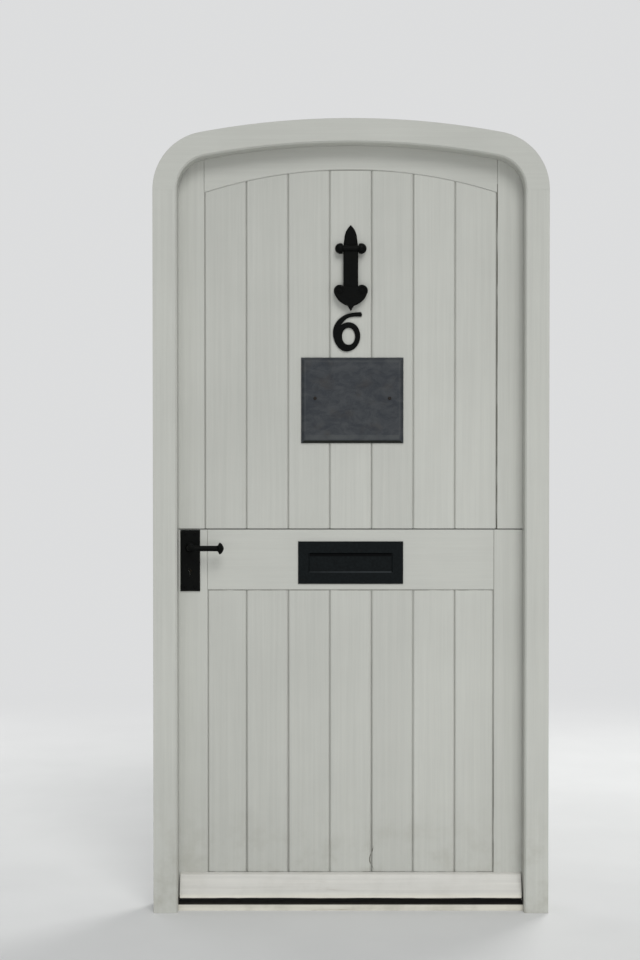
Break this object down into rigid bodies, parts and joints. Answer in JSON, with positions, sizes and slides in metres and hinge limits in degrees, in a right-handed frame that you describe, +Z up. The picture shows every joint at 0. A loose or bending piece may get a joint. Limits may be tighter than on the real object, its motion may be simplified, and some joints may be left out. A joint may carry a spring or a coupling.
{
  "type": "dutch stable door",
  "caption": "Arched framed and boarded stable door in its frame, with two separately hinged leaves, lever lock, letterplate, knocker and slate plaque.",
  "frame": {"origin": "middle of the sill's underside, half way through the frame's depth", "axes": "+Z up, -Y towards the outside of the door, +X to the right seen from outside"},
  "size_m": [0.958, 0.173, 1.9239],
  "materials": {
    "leaf_paint": "satin",
    "frame_paint": "satin",
    "sill_paint": "matte",
    "black_iron": "satin",
    "lock_steel": "satin",
    "dark_screw": "satin",
    "slate": "matte"
  },
  "bodies": {
    "frame": {"left_jamb": "frame_paint", "right_jamb": "frame_paint", "arched_head": "frame_paint", "sill": "sill_paint", "lock_keep": "lock_steel", "hinge_pins": "lock_steel", "upper_top_hinge_frame_plate": "lock_steel", "upper_bottom_hinge_frame_plate": "lock_steel", "lower_top_hinge_frame_plate": "lock_steel", "lower_bottom_hinge_frame_plate": "lock_steel"},
    "upper_leaf": {"upper_hinge_stile": "leaf_paint", "upper_closing_stile": "leaf_paint", "arched_top_rail": "leaf_paint", "upper_bottom_ledge": "leaf_paint", "upper_brace": "leaf_paint", "upper_board_1": "leaf_paint", "upper_board_2": "leaf_paint", "upper_board_3": "leaf_paint", "upper_board_4": "leaf_paint", "upper_board_5": "leaf_paint", "upper_board_6": "leaf_paint", "upper_board_7": "leaf_paint", "upper_top_hinge_leaf_plate": "lock_steel", "upper_bottom_hinge_leaf_plate": "lock_steel", "knocker_backplate": "black_iron", "knocker_pin": "black_iron", "knocker_stud": "black_iron", "slate_plaque": "slate", "plaque_screws": "dark_screw", "stable_bolt_plate": "black_iron"},
    "lower_leaf": {"lower_hinge_stile": "leaf_paint", "lower_closing_stile": "leaf_paint", "mid_rail": "leaf_paint", "lower_bottom_ledge": "leaf_paint", "lower_brace": "leaf_paint", "weatherboard": "leaf_paint", "lower_board_1": "leaf_paint", "lower_board_2": "leaf_paint", "lower_board_3": "leaf_paint", "lower_board_4": "leaf_paint", "lower_board_5": "leaf_paint", "lower_board_6": "leaf_paint", "lower_board_7": "leaf_paint", "lower_top_hinge_leaf_plate": "lock_steel", "lower_bottom_hinge_leaf_plate": "lock_steel", "lock_case": "lock_steel", "outer_backplate": "black_iron", "inner_backplate": "black_iron", "backplate_screws": "black_iron", "letterplate": "black_iron", "inner_letter_frame": "black_iron", "stable_bolt_keep": "black_iron"},
    "lever_set": {"outer_lever": "black_iron", "inner_lever": "black_iron", "lever_spindle": "lock_steel"},
    "latch_bolt": {"latch_bolt": "lock_steel"},
    "dead_bolt": {"dead_bolt": "lock_steel"},
    "letter_flap": {"letter_flap": "black_iron"},
    "knocker_arm": {"knocker_arm": "black_iron"},
    "stable_bolt": {"stable_bolt_rod": "black_iron"}
  },
  "joints": [
    {"name": "upper_leaf_hinge", "type": "hinge", "parent": "frame", "child": "upper_leaf", "pos_m": [0.4325, 0.0537, 0], "axis": [0, 0, -1], "range_deg": [0, 100]},
    {"name": "lower_leaf_hinge", "type": "hinge", "parent": "frame", "child": "lower_leaf", "pos_m": [0.4325, 0.0537, 0], "axis": [0, 0, -1], "range_deg": [0, 100]},
    {"name": "lever_turn", "type": "hinge", "parent": "lower_leaf", "child": "lever_set", "pos_m": [-0.3925, 0.0255, 0.88615], "axis": [0, 1, 0], "range_deg": [0, 40], "stiffness_Nm_per_rad": 2, "springref_deg": -22.92},
    {"name": "latch_slide", "type": "slide", "parent": "lower_leaf", "child": "latch_bolt", "axis": [-1, 0, 0], "range_m": [0, 0.012]},
    {"name": "dead_bolt_slide", "type": "slide", "parent": "lower_leaf", "child": "dead_bolt", "axis": [-1, 0, 0], "range_m": [0, 0.012]},
    {"name": "letter_flap_hinge", "type": "hinge", "parent": "lower_leaf", "child": "letter_flap", "pos_m": [0, 0.0058, 0.875], "axis": [1, 0, 0], "range_deg": [0, 75]},
    {"name": "knocker_hinge", "type": "hinge", "parent": "upper_leaf", "child": "knocker_arm", "pos_m": [0, -0.0085, 1.6148], "axis": [-1, 0, 0], "range_deg": [0, 70]},
    {"name": "stable_bolt_slide", "type": "slide", "parent": "upper_leaf", "child": "stable_bolt", "axis": [0, 0, -1], "range_m": [0, 0.035]}
  ]
}
